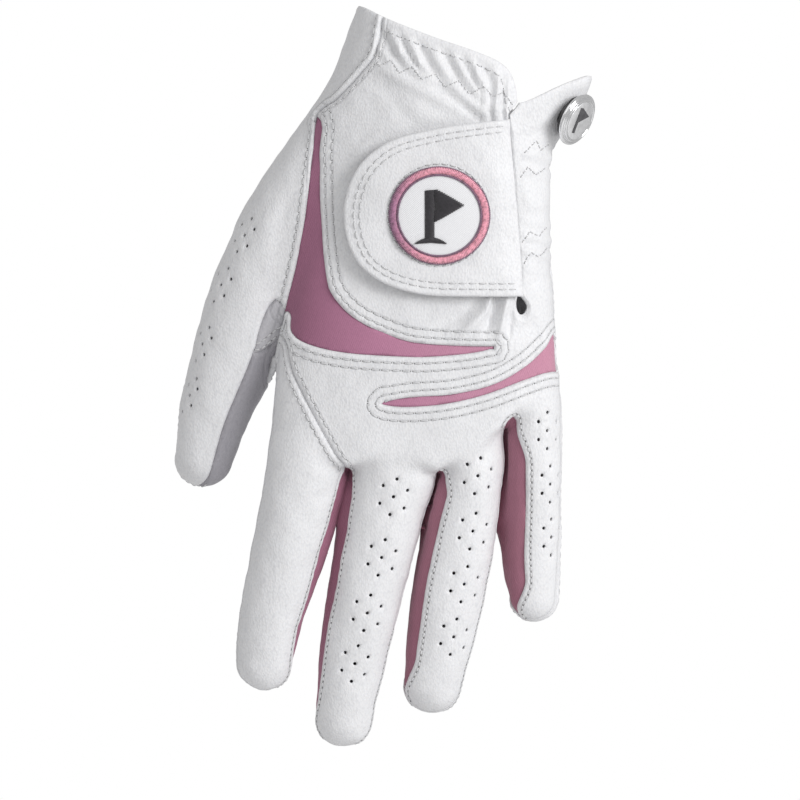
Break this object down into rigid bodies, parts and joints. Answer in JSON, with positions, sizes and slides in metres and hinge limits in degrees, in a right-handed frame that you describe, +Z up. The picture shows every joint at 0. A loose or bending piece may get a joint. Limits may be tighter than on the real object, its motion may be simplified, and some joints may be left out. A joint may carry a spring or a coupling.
{
  "type": "golf glove",
  "caption": "Left-hand golf glove with bending finger stalls, a hook-and-loop closure tab and a lift-off ball marker.",
  "frame": {"origin": "middle of the wrist opening, where the hand goes in", "axes": "+Z up the wrist with the fingers hanging down, -Y out of the back of the hand, +X towards the little finger"},
  "size_m": [0.1188, 0.0441, 0.2087],
  "materials": {
    "leather": "soft synthetic leather, fine grain",
    "stretch": "matt stretch knit",
    "binding": "white twill and elastic",
    "hook": "hook and loop pile",
    "thread": "satin-stitched embroidery thread",
    "motif": "black embroidery thread",
    "steel": "polished",
    "enamel": "dark enamel"
  },
  "bodies": {
    "hand": {"back_panel": "leather", "cuff_corner": "leather", "index_yoke_panel": "leather", "loop_patch": "hook", "lower_stretch_insert": "stretch", "marker_seat": "steel", "palm_panel": "leather", "thumb_base_back": "leather", "thumb_base_front": "leather", "ulnar_elastic": "binding", "upper_stretch_insert": "stretch", "wrist_elastic": "binding"},
    "index_root": {"index_root_back": "leather", "index_root_front": "leather", "index_root_ulnar_fourchette": "stretch"},
    "index_tip": {"index_tip_back": "leather", "index_tip_front": "leather", "index_tip_ulnar_fourchette": "stretch"},
    "middle_root": {"middle_root_back": "leather", "middle_root_front": "leather", "middle_root_radial_fourchette": "stretch", "middle_root_ulnar_fourchette": "stretch"},
    "middle_tip": {"middle_tip_back": "leather", "middle_tip_front": "leather", "middle_tip_radial_fourchette": "stretch", "middle_tip_ulnar_fourchette": "stretch"},
    "ring_root": {"ring_root_back": "leather", "ring_root_front": "leather", "ring_root_radial_fourchette": "stretch", "ring_root_ulnar_fourchette": "stretch"},
    "ring_tip": {"ring_tip_back": "leather", "ring_tip_front": "leather", "ring_tip_radial_fourchette": "stretch", "ring_tip_ulnar_fourchette": "stretch"},
    "little_root": {"little_root_back": "leather", "little_root_front": "leather", "little_root_radial_fourchette": "stretch"},
    "little_tip": {"little_tip_back": "leather", "little_tip_front": "leather", "little_tip_radial_fourchette": "stretch"},
    "thumb_tip": {"thumb_tip_back": "leather", "thumb_tip_front": "leather"},
    "tab": {"closure_tab": "leather", "tab_lining": "leather", "hook_patch": "hook", "emblem_twill": "binding", "emblem_border": "thread", "emblem_motif": "motif"},
    "marker": {"ball_marker": "steel", "marker_inlay": "enamel"}
  },
  "joints": [
    {"name": "index_base_bend", "type": "hinge", "parent": "hand", "child": "index_root", "pos_m": [-0.04149, 0.00778, -0.11352], "axis": [0.9755, 0, -0.2202], "range_deg": [0, 75], "stiffness_Nm_per_rad": 0.02},
    {"name": "index_middle_bend", "type": "hinge", "parent": "index_root", "child": "index_tip", "pos_m": [-0.04776, 0.00894, -0.13884], "axis": [0.9755, 0, -0.2202], "range_deg": [0, 85], "stiffness_Nm_per_rad": 0.01},
    {"name": "middle_base_bend", "type": "hinge", "parent": "hand", "child": "middle_root", "pos_m": [-0.01811, 0.00799, -0.11556], "axis": [0.9819, 0, -0.1892], "range_deg": [0, 75], "stiffness_Nm_per_rad": 0.02},
    {"name": "middle_middle_bend", "type": "hinge", "parent": "middle_root", "child": "middle_tip", "pos_m": [-0.02424, 0.00931, -0.14754], "axis": [0.9819, 0, -0.1892], "range_deg": [0, 85], "stiffness_Nm_per_rad": 0.01},
    {"name": "ring_base_bend", "type": "hinge", "parent": "hand", "child": "ring_root", "pos_m": [0.00468, 0.00759, -0.11354], "axis": [0.9836, 0, -0.1806], "range_deg": [0, 75], "stiffness_Nm_per_rad": 0.02},
    {"name": "ring_middle_bend", "type": "hinge", "parent": "ring_root", "child": "ring_tip", "pos_m": [-0.00057, 0.00894, -0.14198], "axis": [0.9836, 0, -0.1806], "range_deg": [0, 85], "stiffness_Nm_per_rad": 0.01},
    {"name": "little_base_bend", "type": "hinge", "parent": "hand", "child": "little_root", "pos_m": [0.0226, 0.00729, -0.10262], "axis": [1, 0, -0.0043], "range_deg": [0, 75], "stiffness_Nm_per_rad": 0.02},
    {"name": "little_middle_bend", "type": "hinge", "parent": "little_root", "child": "little_tip", "pos_m": [0.022, 0.00802, -0.12439], "axis": [1, 0, -0.0043], "range_deg": [0, 85], "stiffness_Nm_per_rad": 0.01},
    {"name": "thumb_bend", "type": "hinge", "parent": "hand", "child": "thumb_tip", "pos_m": [-0.06247, 0.0197, -0.08281], "axis": [0.9121, 0, -0.4101], "range_deg": [0, 60], "stiffness_Nm_per_rad": 0.02},
    {"name": "tab_open", "type": "hinge", "parent": "hand", "child": "tab", "pos_m": [0.01819, -0.0158, -0.0395], "axis": [-0.0358, 0, 0.9994], "range_deg": [0, 110], "stiffness_Nm_per_rad": 0.004},
    {"name": "marker_lift", "type": "slide", "parent": "hand", "child": "marker", "axis": [0.7616, -0.5011, -0.4109], "range_m": [0, 0.02]}
  ]
}
